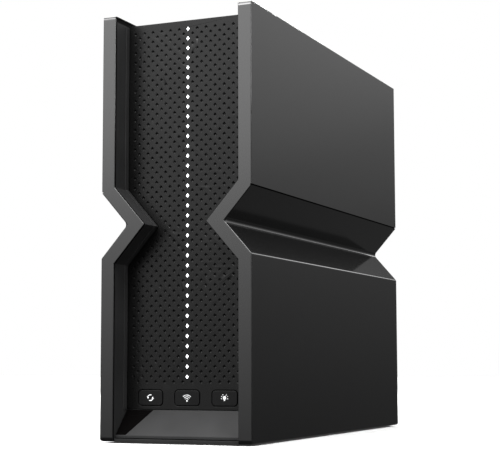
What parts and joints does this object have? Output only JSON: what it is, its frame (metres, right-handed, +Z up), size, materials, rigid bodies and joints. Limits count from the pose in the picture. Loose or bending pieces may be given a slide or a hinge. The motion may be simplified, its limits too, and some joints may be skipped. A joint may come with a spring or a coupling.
{
  "type": "wireless cable gateway",
  "caption": "Hourglass tower network gateway with two side covers, a recessed dimpled front with a light column, front keys and a rear panel of connectors.",
  "frame": {"origin": "bottom centre of the whole, in the plane of the rubber feet", "axes": "+Z up, front faces -Y, +X to the right seen from the front"},
  "size_m": [0.1, 0.284, 0.262],
  "materials": {
    "cover_satin": "gloss lacquer on plastic, near black",
    "black_trim": "fine satin moulding",
    "grille_black": "satin, dimpled all over",
    "chin_gloss": "high gloss",
    "key_black": "gloss",
    "rear_black": "matte fine grain",
    "foot_rubber": "matte",
    "screw_steel": "black oxide",
    "lamp_lens": "clear frosted light guide",
    "lamp_body": "white with a phosphor window",
    "plunger_white": "natural nylon",
    "board_laminate": "solder mask",
    "switch_black": "moulded",
    "chassis_grey": "moulded",
    "shield_steel": "tinned",
    "thermal_pad": "matte silicone",
    "chip_black": "epoxy",
    "heat_sink": "extruded, clear",
    "capacitor_can": "bare with a dark sleeve",
    "ribbon_white": "flat cable",
    "jack_uplink": "moulded",
    "jack_local": "moulded",
    "contact_gold": "gold plated",
    "connector_nickel": "nickel plated",
    "winding_copper": "enamelled winding",
    "shaft_steel": "ground",
    "fan_black": "moulded"
  },
  "bodies": {
    "housing": {"antenna_clips": "chassis_grey", "antenna_strips": "board_laminate", "base_plate": "black_trim", "board_components": "chip_black", "board_magnetics": "chip_black", "board_screws": "screw_steel", "capacitors": "capacitor_can", "chassis": "chassis_grey", "chin_panel": "chin_gloss", "coax_barrel": "connector_nickel", "coax_insulator": "plunger_white", "coax_nut": "connector_nickel", "display_ribbon": "ribbon_white", "fan_bearing": "contact_gold", "fan_frame": "fan_black", "fan_screws": "screw_steel", "fan_stator": "winding_copper", "front_frame": "black_trim", "front_grille": "grille_black", "heat_sink_pins": "plunger_white", "indicator_lamps": "lamp_body", "inlet_pin": "connector_nickel", "jack_contacts": "contact_gold", "key_board": "board_laminate", "key_switches": "switch_black", "lamp_board": "board_laminate", "lan_jack_1": "jack_local", "lan_jack_2": "jack_local", "lan_jack_3": "jack_local", "lan_jack_4": "jack_local", "left_side_cover": "cover_satin", "light_guide": "lamp_lens", "lower_heat_sink": "heat_sink", "main_board": "board_laminate", "panel_screws": "screw_steel", "power_inlet": "switch_black", "power_switch": "switch_black", "rear_frame": "black_trim", "rear_panel": "rear_black", "reset_switch": "switch_black", "right_side_cover": "cover_satin", "rubber_feet": "foot_rubber", "shield_cans": "shield_steel", "thermal_pads": "thermal_pad", "top_vent": "black_trim", "tuner_can": "shield_steel", "upper_heat_sink": "heat_sink", "usb_socket": "shield_steel", "usb_tongue": "jack_uplink", "wan_jack": "jack_uplink"},
    "pairing_key": {"pairing_button": "key_black", "pairing_plunger": "plunger_white"},
    "wireless_key": {"wireless_button": "key_black", "wireless_plunger": "plunger_white"},
    "lamp_key": {"lamp_button": "key_black", "lamp_plunger": "plunger_white"},
    "power_key": {"power_button": "key_black"},
    "reset_key": {"reset_plunger": "key_black"},
    "fan_wheel": {"fan_rotor": "fan_black", "fan_shaft": "shaft_steel"}
  },
  "joints": [
    {"name": "pairing_press", "type": "slide", "parent": "housing", "child": "pairing_key", "axis": [0, 1, 0], "range_m": [0, 0.0008], "stiffness_N_per_m": 1500},
    {"name": "wireless_press", "type": "slide", "parent": "housing", "child": "wireless_key", "axis": [0, 1, 0], "range_m": [0, 0.0008], "stiffness_N_per_m": 1500},
    {"name": "lamp_press", "type": "slide", "parent": "housing", "child": "lamp_key", "axis": [0, 1, 0], "range_m": [0, 0.0008], "stiffness_N_per_m": 1500},
    {"name": "power_press", "type": "slide", "parent": "housing", "child": "power_key", "axis": [0, -1, 0], "range_m": [0, 0.0018], "stiffness_N_per_m": 800},
    {"name": "reset_press", "type": "slide", "parent": "housing", "child": "reset_key", "axis": [0, -1, 0], "range_m": [0, 0.0004], "stiffness_N_per_m": 1500},
    {"name": "fan_spin", "type": "hinge", "parent": "housing", "child": "fan_wheel", "pos_m": [0, -0.02, 0.0026], "axis": [0, 0, 1], "continuous": true}
  ]
}
